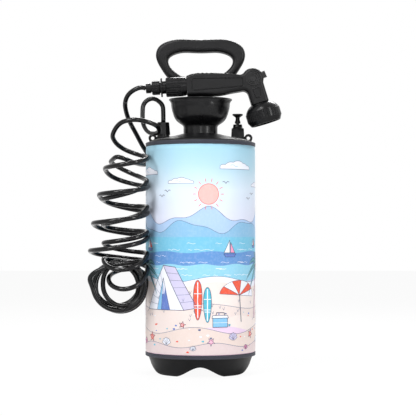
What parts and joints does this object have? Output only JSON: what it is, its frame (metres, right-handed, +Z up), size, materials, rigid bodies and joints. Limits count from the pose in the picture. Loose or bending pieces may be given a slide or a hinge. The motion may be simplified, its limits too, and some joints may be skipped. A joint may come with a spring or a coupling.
{
  "type": "portable shower",
  "caption": "Hand-pumped pressure tank shower in a printed padded sleeve, with filling funnel, pump handle, relief valve, curly hose and parked spray wand.",
  "frame": {"origin": "on the floor, under the middle of the object's width and depth measured without its hose; the tank's axis stands 21.7 mm to the -X side", "axes": "+Z up along the tank's axis, +X towards the spray head, -Y towards the front of the print"},
  "size_m": [0.3258, 0.1984, 0.5729],
  "materials": {
    "tank_black": "satin black blow-moulded polyethylene",
    "sleeve_print": "printed smooth-faced neoprene, matte with a slight sheen",
    "sleeve_binding": "dark elastic binding",
    "funnel_gloss": "glossy black",
    "fitting_black": "matte black",
    "handle_matte": "matte black, fine grain",
    "wand_textured": "matte black, fine spark-eroded texture",
    "wand_smooth": "satin black",
    "inner_plastic": "natural white",
    "seal_rubber": "matte",
    "spring_steel": "stainless",
    "rod_metal": "anodised",
    "hose_gloss": "glossy black polyurethane"
  },
  "bodies": {
    "tank_unit": {"tank": "tank_black", "strap_lug_left": "tank_black", "strap_lug_right": "tank_black", "sleeve": "sleeve_print", "sleeve_bottom_binding": "sleeve_binding", "sleeve_top_binding": "sleeve_binding", "filling_funnel": "funnel_gloss", "relief_gasket": "seal_rubber", "relief_body": "fitting_black", "relief_spring": "spring_steel", "outlet_gasket": "seal_rubber", "outlet_fitting": "fitting_black", "outlet_nut": "fitting_black", "dip_tube": "inner_plastic", "strainer": "inner_plastic", "hose_outlet_lead": "hose_gloss", "hose_wand_lead": "hose_gloss", "hose_coil": "hose_gloss", "hose_bunch": "hose_gloss"},
    "pump": {"pump_neck_seal": "seal_rubber", "pump_cap": "fitting_black", "pump_cylinder": "inner_plastic", "foot_valve_cage": "inner_plastic", "foot_valve_disc": "seal_rubber"},
    "piston_unit": {"piston": "inner_plastic", "piston_seal": "seal_rubber"},
    "handle": {"piston_rod": "rod_metal", "pump_handle": "handle_matte", "handle_pin": "spring_steel"},
    "wand": {"grip_front_shell": "wand_textured", "grip_back_shell": "wand_textured", "grip_screws": "spring_steel", "hub_cap": "wand_smooth", "water_tube": "inner_plastic", "inlet_nipple": "wand_smooth", "swivel_nut": "wand_smooth", "coupling_seal": "seal_rubber", "hose_coupling": "wand_smooth", "hose_clamp_nut": "wand_smooth", "hose_tail_sleeve": "wand_smooth", "head_back": "wand_smooth", "head_gasket": "seal_rubber", "head_face": "wand_smooth", "head_ring": "wand_smooth"},
    "lever": {"flow_lever": "wand_smooth", "valve_core": "inner_plastic"},
    "relief_plunger": {"relief_stem": "fitting_black", "relief_seal": "seal_rubber"}
  },
  "joints": [
    {"name": "pump_lift", "type": "slide", "parent": "tank_unit", "child": "pump", "axis": [0, 0, 1], "range_m": [0, 0.36]},
    {"name": "pump_stroke", "type": "slide", "parent": "pump", "child": "piston_unit", "axis": [0, 0, 1], "range_m": [0, 0.2]},
    {"name": "handle_turn", "type": "hinge", "parent": "piston_unit", "child": "handle", "pos_m": [-0.0217, 0, 0.5], "axis": [0, 0, 1], "range_deg": [0, 90]},
    {"name": "wand_unclip", "type": "slide", "parent": "handle", "child": "wand", "axis": [0, -1, 0], "range_m": [0, 0.06]},
    {"name": "lever_flip", "type": "hinge", "parent": "wand", "child": "lever", "pos_m": [0.06713, -0.0305, 0.50089], "axis": [0, -1, 0], "range_deg": [0, 40]},
    {"name": "relief_pull", "type": "slide", "parent": "tank_unit", "child": "relief_plunger", "axis": [0, 0, 1], "range_m": [0, 0.005], "stiffness_N_per_m": 600, "springref_m": -0.004, "deforming": ["relief_spring"]}
  ]
}
